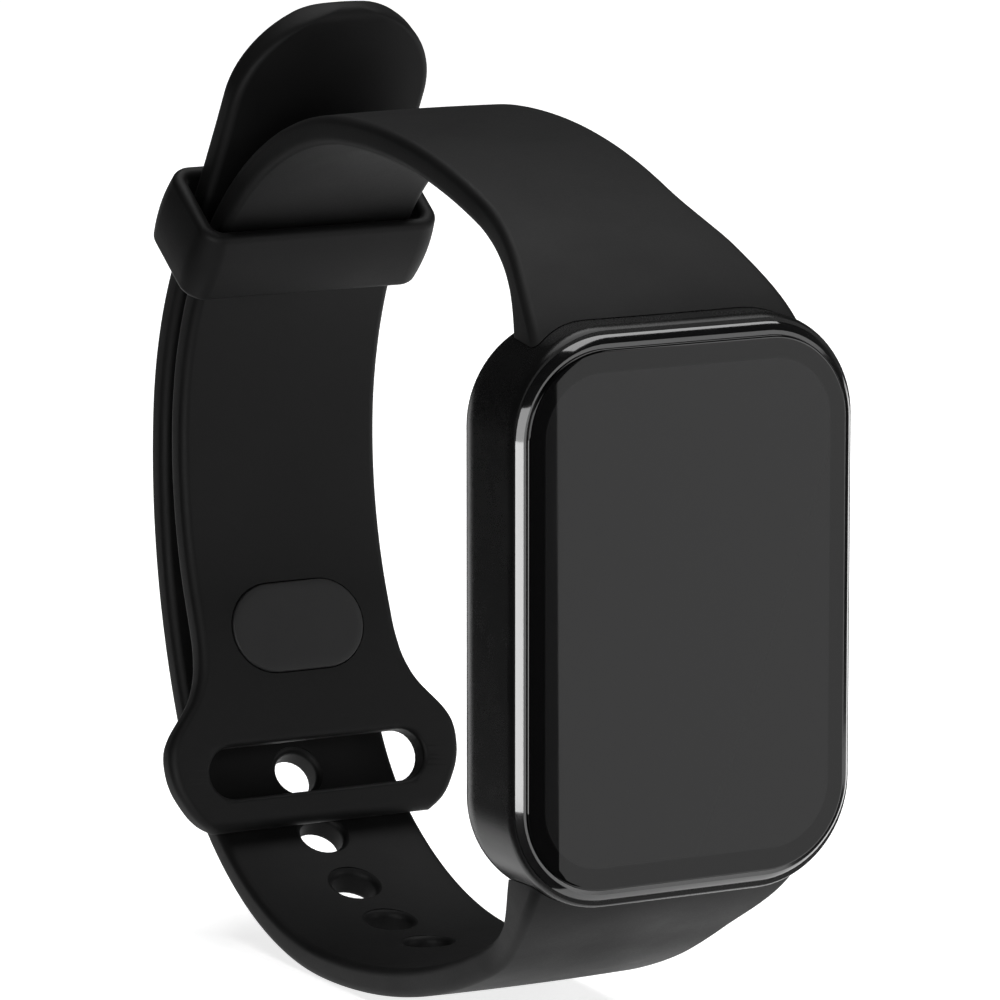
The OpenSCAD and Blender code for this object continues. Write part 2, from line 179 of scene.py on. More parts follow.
buildStudio(studio)
softbox("topBox", (0.12, 0.10, 0.75), (0, 0.02, 0), 0.7, 6.0)
softbox("frontRightBox", (0.50, -0.50, 0.10), (0, 0, 0), 0.40, 2.0)
hangFlags(flags)
print("studio built")

# Finishes: colours, roughness and its spread, grain and patch sizes and bump depth in mm
finishes = {
    "siliconeBlack": dict(colour=(0.0042, 0.0042, 0.0043), other=(0.0059, 0.0059, 0.0060),
                          rough=0.56, vary=0.07, specular=0.12, grain=0.16, depth=0.007, patch=7, sheen=0.012),
    "shellSatin": dict(colour=(0.0038, 0.0038, 0.0039), other=(0.0052, 0.0052, 0.0053), rough=0.27, vary=0.04,
                       specular=0.17, grain=0.12, depth=0.002, patch=9),
    "rimPolish": dict(colour=(0.004, 0.004, 0.0042), other=(0.006, 0.006, 0.0062), rough=0.09, vary=0.03,
                      specular=0.6, grain=0.3, depth=0.0006, patch=6, coat=0.6),
    "coverGloss": dict(colour=(0.010, 0.010, 0.0105), other=(0.014, 0.014, 0.0145), rough=0.16, vary=0.05,
                       specular=0.5, grain=0.25, depth=0.001, patch=6, coat=0.4),
    "windowDark": dict(colour=(0.006, 0.006, 0.008), other=(0.009, 0.008, 0.011), rough=0.05, vary=0.02,
                       specular=0.6, grain=0.5, depth=0.0003, patch=5, coat=0.8),
    "latchMetal": dict(colour=(0.045, 0.045, 0.047), other=(0.065, 0.065, 0.068), rough=0.34, vary=0.08,
                       specular=0.5, grain=0.06, depth=0.002, patch=1.2, metal=0.7),
    "studMetal": dict(colour=(0.05, 0.05, 0.052), other=(0.075, 0.075, 0.078), rough=0.24, vary=0.08,
                      specular=0.5, grain=0.08, depth=0.0015, patch=1.5, metal=0.85),
    "plateSilicone": dict(colour=(0.0135, 0.0135, 0.0138), other=(0.0170, 0.0170, 0.0173),
                          rough=0.52, vary=0.06, specular=0.2, grain=0.12, depth=0.005, patch=4),
    "railNylon": dict(colour=(0.020, 0.020, 0.021), other=(0.034, 0.034, 0.035), rough=0.48, vary=0.09,
                      specular=0.4, grain=0.35, depth=0.004, patch=2.5),
    "contactGold": dict(colour=(0.72, 0.50, 0.20), other=(0.82, 0.60, 0.28), rough=0.22, vary=0.08,
                        specular=0.5, grain=0.05, depth=0.0012, patch=0.8, metal=1.0),
    "foamAdhesive": dict(colour=(0.012, 0.012, 0.012), other=(0.022, 0.022, 0.022), rough=0.85, vary=0.08,
                         specular=0.2, grain=0.1, depth=0.01, patch=1.5),
    "displayDark": dict(colour=(0.012, 0.012, 0.015), other=(0.018, 0.018, 0.022), rough=0.2, vary=0.05,
                        specular=0.5, grain=0.2, depth=0.0008, patch=5),
    "amberFilm": dict(colour=(0.42, 0.17, 0.025), other=(0.55, 0.25, 0.04), rough=0.32, vary=0.08,
                      specular=0.5, grain=0.25, depth=0.002, patch=2),
    "stampedSteel": dict(colour=(0.50, 0.51, 0.53), other=(0.62, 0.63, 0.65), rough=0.34, vary=0.1,
                         specular=0.5, grain=0.06, depth=0.002, patch=2, metal=1.0, brushed=14),
    "foilPouch": dict(colour=(0.62, 0.63, 0.65), other=(0.74, 0.75, 0.77), rough=0.30, vary=0.12,
                      specular=0.5, grain=0.6, depth=0.02, patch=4, metal=0.9),
    "leadSleeve": dict(colour=(0.42, 0.012, 0.01), other=(0.55, 0.02, 0.015), rough=0.5, vary=0.08,
                       specular=0.4, grain=0.2, depth=0.004, patch=1),
    "boardResist": dict(colour=(0.008, 0.075, 0.030), other=(0.014, 0.12, 0.05), rough=0.34, vary=0.08,
                        specular=0.5, grain=0.25, depth=0.004, patch=1.2),
    "chipEpoxy": dict(colour=(0.014, 0.014, 0.015), other=(0.026, 0.026, 0.027), rough=0.55, vary=0.08,
                      specular=0.4, grain=0.05, depth=0.003, patch=1),
    "tinPlate": dict(colour=(0.64, 0.64, 0.65), other=(0.76, 0.76, 0.77), rough=0.28, vary=0.1,
                     specular=0.5, grain=0.08, depth=0.0015, patch=2, metal=1.0, brushed=8),
    "sinteredWeight": dict(colour=(0.28, 0.28, 0.30), other=(0.38, 0.38, 0.40), rough=0.5, vary=0.1,
                           specular=0.5, grain=0.07, depth=0.006, patch=1, metal=0.9),
    "ledLens": dict(colour=(0.07, 0.42, 0.11), other=(0.12, 0.55, 0.17), rough=0.15, vary=0.05,
                    specular=0.6, grain=0.1, depth=0.001, patch=0.6),
}
slotFinish = {
    "case_satin": "shellSatin", "rim_gloss": "rimPolish", "adhesive": "foamAdhesive",
    "display": "displayDark", "flex_amber": "amberFilm", "frame_steel": "stampedSteel",
    "battery_foil": "foilPouch", "lead_red": "leadSleeve", "board_green": "boardResist",
    "chip_black": "chipEpoxy", "can_tin": "tinPlate", "weight_grey": "sinteredWeight",
    "led_lens": "ledLens", "window_dark": "windowDark", "cover_gloss": "coverGloss",
    "contact_gold": "contactGold", "latch_dark": "latchMetal", "band_silicone": "siliconeBlack",
    "rail_dark": "railNylon", "stud_dark": "studMetal",
}


def addNode(tree, kind, settings=None, **sockets):
    node = tree.nodes.new(kind)
    for key, value in (settings or {}).items():
        setattr(node, key, value)
    for key, value in sockets.items():
        socket = pick(node.inputs, key)
        if isinstance(value, bpy.types.NodeSocket):
            tree.links.new(value, socket)
        else:
            socket.default_value = value
    return node


def pick(sockets, key):
    return next(s for s in sockets if s.name == key.replace("_", " ") and s.enabled)


def mixColours(tree, share, colour, other):
    tint = addNode(tree, "ShaderNodeMix", {"data_type": "RGBA"})
    tree.links.new(share, tint.inputs[0])
    tint.inputs[6].default_value = (*colour, 1)
    tint.inputs[7].default_value = (*other, 1)
    return tint.outputs[2]


def makeFinish(name, look):
    finish = bpy.data.materials.new(name)
    finish.use_nodes = True
    tree = finish.node_tree
    shader = tree.nodes["Principled BSDF"]
    where = addNode(tree, "ShaderNodeTexCoord").outputs["Object"]
    if look.get("brushed"):
        where = addNode(tree, "ShaderNodeMapping", Vector=where,
                        Scale=(1, 1, look["brushed"])).outputs["Vector"]
    grain = addNode(tree, "ShaderNodeTexNoise", Vector=where, Scale=1 / (look["grain"] * mm), Detail=4.0)
    patch = addNode(tree, "ShaderNodeTexNoise", Vector=where, Scale=1 / (look["patch"] * mm), Detail=5.0,
                    Roughness=0.6)
    spread = addNode(tree, "ShaderNodeMapRange", Value=patch.outputs[0], From_Min=0.32, From_Max=0.68)
    tree.links.new(mixColours(tree, spread.outputs[0], look["colour"], look["other"]),
                   shader.inputs["Base Color"])
    both = addNode(tree, "ShaderNodeMath", {"operation": "MULTIPLY_ADD"})
    tree.links.new(grain.outputs[0], both.inputs[0])
    both.inputs[1].default_value = 0.5
    tree.links.new(patch.outputs[0], both.inputs[2])
    rough = addNode(tree, "ShaderNodeMapRange", Value=both.outputs[0], From_Min=0.45, From_Max=1.05,
                    To_Min=look["rough"] - look["vary"], To_Max=look["rough"] + look["vary"])
    tree.links.new(rough.outputs[0], shader.inputs["Roughness"])
    bump = addNode(tree, "ShaderNodeBump", Strength=1.0, Distance=look["depth"] * mm, Height=grain.outputs[0])
    tree.links.new(bump.outputs[0], shader.inputs["Normal"])
    shader.inputs["Metallic"].default_value = look.get("metal", 0)
    shader.inputs["Specular IOR Level"].default_value = look["specular"]
    shader.inputs["Coat Weight"].default_value = look.get("coat", 0)
    shader.inputs["Coat Roughness"].default_value = 0.05
    shader.inputs["Sheen Weight"].default_value = look.get("sheen", 0)
    shader.inputs["Sheen Roughness"].default_value = 0.4
    return finish


made = {name: makeFinish(name, look) for name, look in finishes.items()}

# Cover glass, with the dark border and the lighter display drawn by distance from the middle
coverGlass = {
    "width": 27.0, "length": 40.3, "corner": 6.5, "front": -11.0, "thick": 0.8,
    "edgeWide": 0.22, "edgeDrop": 0.2,
    "displayWide": 24.2, "displayLong": 36.9, "displayCorner": 4.8,
    "borderColour": (0.0015, 0.0015, 0.0016), "displayColour": (0.0088, 0.0088, 0.0090),
    "borderBlur": 0.06, "smearScale": 90.0, "rough": (0.008, 0.02), "ripple": 0.0000001, "specular": 0.30,
}


def makeGlassFinish(look):
    finish = bpy.data.materials.new("blackGlass")
    finish.use_nodes = True
    tree = finish.node_tree
    shader = tree.nodes["Principled BSDF"]
    where = addNode(tree, "ShaderNodeTexCoord").outputs["Object"]
    axes = addNode(tree, "ShaderNodeSeparateXYZ", Vector=where)
    reach = []
    for axis, size in ((0, look["displayWide"]), (2, look["displayLong"])):
        away = addNode(tree, "ShaderNodeMath", {"operation": "ABSOLUTE"}, Value=axes.outputs[axis])
        past = addNode(tree, "ShaderNodeMath", {"operation": "SUBTRACT"}, Value=away.outputs[0])
        past.inputs[1].default_value = (size / 2 - look["displayCorner"]) * mm
        over = addNode(tree, "ShaderNodeMath", {"operation": "MAXIMUM"}, Value=past.outputs[0])
        over.inputs[1].default_value = 0
        reach.append(over.outputs[0])
    corner = addNode(tree, "ShaderNodeCombineXYZ", X=reach[0], Y=reach[1])
    span = addNode(tree, "ShaderNodeVectorMath", {"operation": "LENGTH"}, Vector=corner.outputs[0])
    edge = look["displayCorner"] * mm
    blur = look["borderBlur"] * mm
    border = addNode(tree, "ShaderNodeMapRange", Value=span.outputs["Value"], From_Min=edge - blur,
                     From_Max=edge + blur)
    tree.links.new(mixColours(tree, border.outputs[0], look["displayColour"], look["borderColour"]),
                   shader.inputs["Base Color"])
    smear = addNode(tree, "ShaderNodeTexNoise", Vector=where, Scale=look["smearScale"], Detail=5.0,
                    Distortion=0.6)
    rough = addNode(tree, "ShaderNodeMapRange", Value=smear.outputs[0], From_Min=0.3, From_Max=0.7,
                    To_Min=look["rough"][0], To_Max=look["rough"][1])
    tree.links.new(rough.outputs[0], shader.inputs["Roughness"])
    ripple = addNode(tree, "ShaderNodeBump", Strength=1.0, Distance=look["ripple"], Height=smear.outputs[0])
    tree.links.new(ripple.outputs[0], shader.inputs["Normal"])
    shader.inputs["IOR"].default_value = 1.5
    shader.inputs["Specular IOR Level"].default_value = look["specular"]
    return finish


made["blackGlass"] = makeGlassFinish(coverGlass)
slotOf = {s["node"]: s["material_slot"] for s in frame["record"]["subparts"]}
for nodeName, cadObject in frame["nodes"].items():
    slotName = slotOf[nodeName]
    skin = made["blackGlass"] if slotName == "front_glass" else made[slotFinish[slotName]]
    cadObject.data.materials.clear()
    cadObject.data.materials.append(skin)
print("finishes made:", len(made))

# Mesh helpers


def newObject(name, mesh, skin=None):
    piece = bpy.data.objects.new(name, mesh)
    bpy.context.scene.collection.objects.link(piece)
    if skin:
        piece.data.materials.clear()
        piece.data.materials.append(made[skin])
    return piece


def fromParts(name, verts, faces, skin=None):
    mesh = bpy.data.meshes.new(name)
    mesh.from_pydata(verts, [], faces)
    return newObject(name, mesh, skin)


def tidyMesh(mesh, sharpAt=38):
    work = bmesh.new()
    work.from_mesh(mesh)
    bmesh.ops.remove_doubles(work, verts=work.verts, dist=2e-7)
    bmesh.ops.dissolve_degenerate(work, edges=work.edges, dist=1e-7)
    bmesh.ops.recalc_face_normals(work, faces=work.faces)
    for f in work.faces:
        f.smooth = True
    work.to_mesh(mesh)
    work.free()
    mesh.set_sharp_from_angle(angle=math.radians(sharpAt))


def applyModifiers(piece):
    depsgraph = bpy.context.evaluated_depsgraph_get()
    mesh = bpy.data.meshes.new_from_object(piece.evaluated_get(depsgraph), depsgraph=depsgraph)
    piece.modifiers.clear()
    piece.data = mesh
    return piece


def settle(piece, sharpAt=38):
    mesh = applyModifiers(piece).data
    skins = [m for m in mesh.materials if m]
    mesh.materials.clear()
    for skin in skins[:1]:
        mesh.materials.append(skin)
    mesh.polygons.foreach_set("material_index", [0] * len(mesh.polygons))
    tidyMesh(mesh, sharpAt)
    return piece


def weighNormals(piece):
    weigh = piece.modifiers.new("weigh", "WEIGHTED_NORMAL")
    weigh.keep_sharp = True
    weigh.weight = 60
    return applyModifiers(piece)


def carve(piece, cutters, sharpAt=38):
    tray = bpy.data.collections.new("cutters")
    bpy.context.scene.collection.children.link(tray)
    for cutter in cutters:
        tidyMesh(cutter.data)
        tray.objects.link(cutter)
    cut = piece.modifiers.new("cut", "BOOLEAN")
    cut.operation = "DIFFERENCE"
    cut.operand_type = "COLLECTION"
    cut.collection = tray
    cut.solver = "EXACT"
    settle(piece, sharpAt)
    for cutter in cutters:
        bpy.data.objects.remove(cutter)
    bpy.data.collections.remove(tray)
    return piece


def joinMeshes(piece, others):
    work = bmesh.new()
    work.from_mesh(piece.data)
    for other in others:
        work.from_mesh(other.data)
        bpy.data.objects.remove(other)
    work.to_mesh(piece.data)
    work.free()
    return piece


# faces between rows of equal point counts, one after the other
def rowFaces(rows, count, wrap=False):
    faces = []
    for i in range(rows if wrap else rows - 1):
        j = (i + 1) % rows
        for k in range(count):
            m = (k + 1) % count
            faces.append((i * count + k, i * count + m, j * count + m, j * count + k))
    return faces


def endFaces(rows, count):
    return [tuple(range(count)), tuple((rows - 1) * count + k for k in range(count))]


def oblongLoop(straight, radius, around):
    angles = [math.radians(start + 180 * k / around) for start in (-90, 90) for k in range(around + 1)]
    ends = [1] * (around + 1) + [-1] * (around + 1)
    return [(end * straight + radius * math.cos(a), radius * math.sin(a)) for end, a in zip(ends, angles)]


def roundedLoop(wide, long, corner, perCorner=14, perSide=6):
    loop = []
    half = (wide / 2 - corner, long / 2 - corner)
    for q, (sx, sz) in enumerate(((1, 1), (-1, 1), (-1, -1), (1, -1))):
        for i in range(perCorner + 1):
            a = math.radians(90 * q + 90 * i / perCorner)
            loop.append((sx * half[0] + corner * math.cos(a), sz * half[1] + corner * math.sin(a)))
        nextCorner = ((-1, 1), (-1, -1), (1, -1), (1, 1))[q]
        end = math.radians(90 * (q + 1))
        start = loop[-1]
        stop = (nextCorner[0] * half[0] + corner * math.cos(end),
                nextCorner[1] * half[1] + corner * math.sin(end))
        for i in range(1, perSide):
            t = i / perSide
            loop.append((start[0] + (stop[0] - start[0]) * t, start[1] + (stop[1] - start[1]) * t))
    return loop


def loopRows(levels, perCorner):
    return [(x * mm, y * mm, z * mm) for y, *size in levels for x, z in roundedLoop(*size, perCorner)]


# rounded rectangles (y, width, length, corner) joined from one y to the next
def loft(name, levels, skin=None, perCorner=14):
    verts = loopRows(levels, perCorner)
    count = len(verts) // len(levels)
    faces = rowFaces(len(levels), count)
    for i, y in ((0, levels[0][0]), (len(levels) - 1, levels[-1][0])):
        verts.append((0, y * mm, 0))
        middle = len(verts) - 1
        for k in range(count):
            faces.append((middle, i * count + k, i * count + (k + 1) % count))
    return fromParts(name, verts, faces, skin)


def turned(name, profile, origin, axis="Y", sides=48, skin=None):
    verts = []
    for radius, along in profile:
        for k in range(sides):
            a = 2 * math.pi * k / sides
            u, v = max(radius, 1e-4) * math.cos(a), max(radius, 1e-4) * math.sin(a)
            spot = {"Y": (u, along, v), "X": (along, u, v), "Z": (u, v, along)}[axis]
            verts.append(tuple((spot[j] + origin[j]) * mm for j in range(3)))
    faces = rowFaces(len(profile), sides)
    if profile[0] != profile[-1]:
        faces += endFaces(len(profile), sides)
    return fromParts(name, verts, faces, skin)


def slab(name, lo, hi):
    verts = [(x * mm, y * mm, z * mm) for x in (lo[0], hi[0]) for y in (lo[1], hi[1]) for z in (lo[2], hi[2])]
    faces = [(0, 1, 3, 2), (4, 6, 7, 5), (0, 4, 5, 1), (2, 3, 7, 6), (0, 2, 6, 4), (1, 5, 7, 3)]
    return fromParts(name, verts, faces)


def arc(r, centre, fromDeg, toDeg, steps=8):
    return [(centre[0] + r * math.cos(math.radians(fromDeg + (toDeg - fromDeg) * i / steps)),
             centre[1] + r * math.sin(math.radians(fromDeg + (toDeg - fromDeg) * i / steps)))
            for i in range(steps + 1)]


# Sweep along a path and repeats on points, in Geometry Nodes


def calc(tree, operation, *values):
    node = tree.nodes.new("ShaderNodeMath")
    node.operation = operation
    for socket, value in zip(node.inputs, values):
        if isinstance(value, bpy.types.NodeSocket):
            tree.links.new(value, socket)
        else:
            socket.default_value = value
    return node.outputs[0]


def sampleAt(tree, shape, index, attribute, kind):
    if attribute == "position":
        value = addNode(tree, "GeometryNodeInputPosition").outputs[0]
    else:
        named = addNode(tree, "GeometryNodeInputNamedAttribute", {"data_type": kind}, Name=attribute)
        value = pick(named.outputs, "Attribute")
    found = addNode(tree, "GeometryNodeSampleIndex", {"data_type": kind, "domain": "POINT"},
                    Geometry=shape, Value=value, Index=index)
    return pick(found.outputs, "Value")


def startTree(name, inputs):
    tree = bpy.data.node_groups.new(name, "GeometryNodeTree")
    face = tree.interface
    face.new_socket("Geometry", in_out="OUTPUT", socket_type="NodeSocketGeometry")
    ids = {label: face.new_socket(label, in_out="INPUT", socket_type="NodeSocket" + kind).identifier
           for label, kind in (("Geometry", "Geometry"), *inputs)}
    return tree, ids, tree.nodes.new("NodeGroupInput")


def finishTree(tree, shape, skin):
    real = addNode(tree, "GeometryNodeRealizeInstances", Geometry=shape)
    skinned = addNode(tree, "GeometryNodeSetMaterial", Geometry=real.outputs[0], Material=skin)
    tree.links.new(skinned.outputs[0], tree.nodes.new("NodeGroupOutput").inputs[0])


def sweepTree():
    tree, ids, given = startTree("sweepSection", (("Section", "Object"), ("Edge Round", "Float"),
                                                  ("Crown", "Float"), ("Skin", "Material")))
    path = given.outputs["Geometry"]
    section = addNode(tree, "GeometryNodeObjectInfo", Object=given.outputs["Section"]).outputs["Geometry"]
    stations = addNode(tree, "GeometryNodeAttributeDomainSize", Geometry=path).outputs["Point Count"]
    around = addNode(tree, "GeometryNodeAttributeDomainSize", Geometry=section).outputs["Point Count"]
    grid = addNode(tree, "GeometryNodeMeshGrid", Vertices_X=stations, Vertices_Y=around)
    index = addNode(tree, "GeometryNodeInputIndex").outputs[0]
    station = calc(tree, "FLOOR", calc(tree, "DIVIDE", calc(tree, "ADD", index, 0.5), around))
    turn = calc(tree, "SUBTRACT", index, calc(tree, "MULTIPLY", station, around))
    centre = sampleAt(tree, path, station, "position", "FLOAT_VECTOR")
    side = sampleAt(tree, path, station, "side", "FLOAT_VECTOR")
    outward = sampleAt(tree, path, station, "outward", "FLOAT_VECTOR")
    halfWide = sampleAt(tree, path, station, "halfWide", "FLOAT")
    halfThick = sampleAt(tree, path, station, "halfThick", "FLOAT")
    flat = addNode(tree, "ShaderNodeSeparateXYZ",
                   Vector=sampleAt(tree, section, turn, "position", "FLOAT_VECTOR"))
    bend = addNode(tree, "ShaderNodeSeparateXYZ", Vector=sampleAt(tree, section, turn, "arc", "FLOAT_VECTOR"))
    radius = calc(tree, "MINIMUM", given.outputs["Edge Round"],
                  calc(tree, "MINIMUM", calc(tree, "MULTIPLY", halfThick, 0.98), halfWide))
    across = calc(tree, "ADD",
                  calc(tree, "MULTIPLY", flat.outputs[0], calc(tree, "SUBTRACT", halfWide, radius)),
                  calc(tree, "MULTIPLY", bend.outputs[0], radius))
    rise = calc(tree, "ADD",
                calc(tree, "MULTIPLY", flat.outputs[1], calc(tree, "SUBTRACT", halfThick, radius)),
                calc(tree, "MULTIPLY", bend.outputs[1], radius))
    arch = calc(tree, "SUBTRACT", 1.0, calc(tree, "MULTIPLY", flat.outputs[0], flat.outputs[0]))
    lift = calc(tree, "MULTIPLY", calc(tree, "MULTIPLY", given.outputs["Crown"], halfThick),
                calc(tree, "MULTIPLY", calc(tree, "MAXIMUM", flat.outputs[1], 0.0), arch))
    rise = calc(tree, "ADD", rise, lift)
    sideways = addNode(tree, "ShaderNodeVectorMath", {"operation": "SCALE"}, Vector=side, Scale=across)
    out = addNode(tree, "ShaderNodeVectorMath", {"operation": "SCALE"}, Vector=outward, Scale=rise)
    summed = addNode(tree, "ShaderNodeVectorMath", {"operation": "ADD"})
    tree.links.new(sideways.outputs[0], summed.inputs[0])
    tree.links.new(out.outputs[0], summed.inputs[1])
    spot = addNode(tree, "ShaderNodeVectorMath", {"operation": "ADD"})
    tree.links.new(summed.outputs[0], spot.inputs[0])
    tree.links.new(centre, spot.inputs[1])
    placed = addNode(tree, "GeometryNodeSetPosition", Geometry=grid.outputs["Mesh"], Position=spot.outputs[0])
    merged = addNode(tree, "GeometryNodeMergeByDistance", Geometry=placed.outputs[0], Distance=1e-6)
    finishTree(tree, merged.outputs[0], given.outputs["Skin"])
    return tree, ids


def repeatTree():
    tree, ids, given = startTree("repeatOnPoints", (("Shape", "Object"), ("Skin", "Material")))
    shape = addNode(tree, "GeometryNodeObjectInfo", Object=given.outputs["Shape"]).outputs["Geometry"]
    points = addNode(tree, "GeometryNodeMeshToPoints", Mesh=given.outputs["Geometry"])
    named = addNode(tree, "GeometryNodeInputNamedAttribute", {"data_type": "FLOAT_VECTOR"}, Name="turn")
    euler = addNode(tree, "FunctionNodeEulerToRotation", Euler=pick(named.outputs, "Attribute"))
    placed = addNode(tree, "GeometryNodeInstanceOnPoints", Points=points.outputs[0], Instance=shape,
                     Rotation=euler.outputs[0])
    finishTree(tree, placed.outputs[0], given.outputs["Skin"])
    return tree, ids


sweepGroup, sweepIds = sweepTree()
repeatGroup, repeatIds = repeatTree()


def sectionObject(perCorner=7, perFlat=9, perEdge=2):
    spots, arcs = [], []
    for q, (u, v) in enumerate(((1, 1), (-1, 1), (-1, -1), (1, -1))):
        for i in range(perCorner + 1):
            a = math.radians(90 * q + 90 * i / perCorner)
            spots.append((u, v, 0))
            arcs.append((math.cos(a), math.sin(a), 0))
        nextU, nextV = ((-1, 1), (-1, -1), (1, -1), (1, 1))[q]
        steps = perFlat if q % 2 == 0 else perEdge
        for i in range(1, steps):
            t = i / steps
            spots.append((u + (nextU - u) * t, v + (nextV - v) * t, 0))
            arcs.append(arcs[-1])
    spots.append(spots[0])
    arcs.append(arcs[0])
    section = fromParts("section", spots, [])
    writeVectors(section.data, "arc", arcs)
    return section


def writeVectors(mesh, name, values):
    layer = mesh.attributes.new(name, "FLOAT_VECTOR", "POINT")
    layer.data.foreach_set("vector", [c for v in values for c in v])


def writeFloats(mesh, name, values):
    mesh.attributes.new(name, "FLOAT", "POINT").data.foreach_set("value", values)


section = sectionObject()


def sweep(name, stations, edgeRound, crown, skin):
    piece = fromParts(name, [s["at"] for s in stations], [])
    for key in ("side", "outward"):
        writeVectors(piece.data, key, [s[key] for s in stations])
    for key in ("halfWide", "halfThick"):
        writeFloats(piece.data, key, [s[key] for s in stations])
    run = piece.modifiers.new("sweep", "NODES")
    run.node_group = sweepGroup
    run[sweepIds["Section"]] = section
    run[sweepIds["Edge Round"]] = edgeRound * mm
    run[sweepIds["Crown"]] = crown
    run[sweepIds["Skin"]] = made[skin]
    return settle(piece)


def repeat(name, shape, spots, turns, skin=None):
    piece = fromParts(name, spots, [])
    writeVectors(piece.data, "turn", turns)
    run = piece.modifiers.new("repeat", "NODES")
    run.node_group = repeatGroup
    run[repeatIds["Shape"]] = shape
    if skin:
        run[repeatIds["Skin"]] = made[skin]
    settle(piece)
    bpy.data.objects.remove(shape)
    return piece


# Band lines: each layer runs along bends of (length, turn in degrees) from its root, in the plane of Y and Z


def ease(x):
    t = max(0.0, min(1.0, x))
    return t * t * (3 - 2 * t)


def cornerLoss(s, end, r):
    return r - math.sqrt(max(0.0, r * r - (s - end + r) ** 2)) if s > end - r else 0.0


def headingAt(line, s):
    heading = line["heading"]
    for length, turn in line["bends"]:
        heading += max(0.0, min(1.0, s / length)) * turn
        s -= length
    return heading


def pointAt(line, s):
    steps = max(1, math.ceil(s))
    d = s / steps
    y, z = line["start"]
    for i in range(steps):
        a = math.radians(headingAt(line, (i + 0.5) * d))
        y += d * math.cos(a)
        z += d * math.sin(a)
    return y, z


def lookUp(table, x):
    for (x0, y0), (x1, y1) in zip(table, table[1:]):
        if x <= x1:
            return y0 + (y1 - y0) * (x - x0) / (x1 - x0)
    return table[-1][1]


def station(line, s, halfWide, halfThick):
    y, z = pointAt(line, s)
    a = math.radians(headingAt(line, s))
    flip = line["outside"]
    return {"at": (0.0, y * mm, z * mm), "side": (1.0, 0.0, 0.0),
            "outward": (0.0, -flip * math.sin(a), flip * math.cos(a)),
            "halfWide": halfWide * mm, "halfThick": halfThick * mm}


# oblong or round cutter whose two rims flare out, so the hole it leaves has soft lips
def flaredCutter(name, halfLong, halfWide, halfThick, flareOut, flareIn, steps=5, around=14):
    lean = math.radians(75)

    def lip(flare):
        if flare <= 0:
            return [(halfThick, 0.0)]
        angles = [lean * i / steps for i in range(steps + 1)]
        return [(halfThick - flare * (math.sin(lean) - math.sin(a)), flare * (1 - math.cos(a)))
                for a in angles]

    levels = [(-z, grow) for z, grow in reversed(lip(flareIn))] + lip(flareOut)
    levels = [(-halfThick - 0.8, levels[0][1])] + levels + [(halfThick + 0.8, levels[-1][1])]
    verts = [(x * mm, y * mm, z * mm) for z, grow in levels
             for x, y in oblongLoop(halfLong - halfWide, halfWide + grow, around)]
    count = 2 * (around + 1)
    return fromParts(name, verts, rowFaces(len(levels), count) + endFaces(len(levels), count))


def onBand(piece, line, s, lift=0.0):
    y, z = pointAt(line, s)
    a = headingAt(line, s) + (0 if line["outside"] > 0 else 180)
    turn = Matrix.Rotation(math.radians(a), 4, "X")
    place = Matrix.Translation((0, y * mm, z * mm))
    piece.data.transform(place @ turn @ Matrix.Translation((0, 0, lift * mm)))
    return piece


# Case shell
caseLook = {
    "width": 28.8, "length": 43.4, "corner": 7.8, "front": -10.25, "frontFlat": -9.4,
    "backFlat": -4.5, "back": -1.4,
    "frontInset": (0.18, 0.6, 0.1), "backInset": (3.6, 3.6, 1.5),
    "ringPocket": (28.52, 42.2, 7.55), "ledge": -9.9, "window": (25.4, 38.6, 5.2),
    "cavity": (25.2, 31.2, 3.0), "cavityFront": -9.3, "backWall": -3.0,
    "coverHole": (20.8, 28.8, 4.0), "coverPocket": (22.7, 30.7, 5.0), "coverFront": -2.35,
    "channelY": -4.9, "channelZ": 18.2, "channelR": 1.8, "stopX": -10.65, "neckFrom": -9.6, "neckHalf": 0.8,
    "imprintGap": 0.05, "frontArc": 44,
    "bossX": 10.9, "bossZ": 13.9,
}


def caseLevels(look):
    levels = []
    rise = look["frontFlat"] - look["front"]
    sweepAngle = math.radians(look["frontArc"])
    for i in range(11):
        a = sweepAngle * (1 - i / 10)
        share = (1 - math.cos(a)) / (1 - math.cos(sweepAngle))
        y = look["frontFlat"] - rise * math.sin(a) / math.sin(sweepAngle)
        levels.append((y, *(v * share for v in look["frontInset"])))
    for i in range(1, 5):
        levels.append((look["frontFlat"] + (look["backFlat"] - look["frontFlat"]) * i / 5, 0, 0, 0))
    fall = look["back"] - look["backFlat"]
    for i in range(17):
        a = math.radians(90 * i / 16)
        share = 1 - math.cos(a)
        levels.append((look["backFlat"] + fall * math.sin(a), *(v * share for v in look["backInset"])))
    return [(y, look["width"] - w, look["length"] - l, look["corner"] - r) for y, w, l, r in levels]


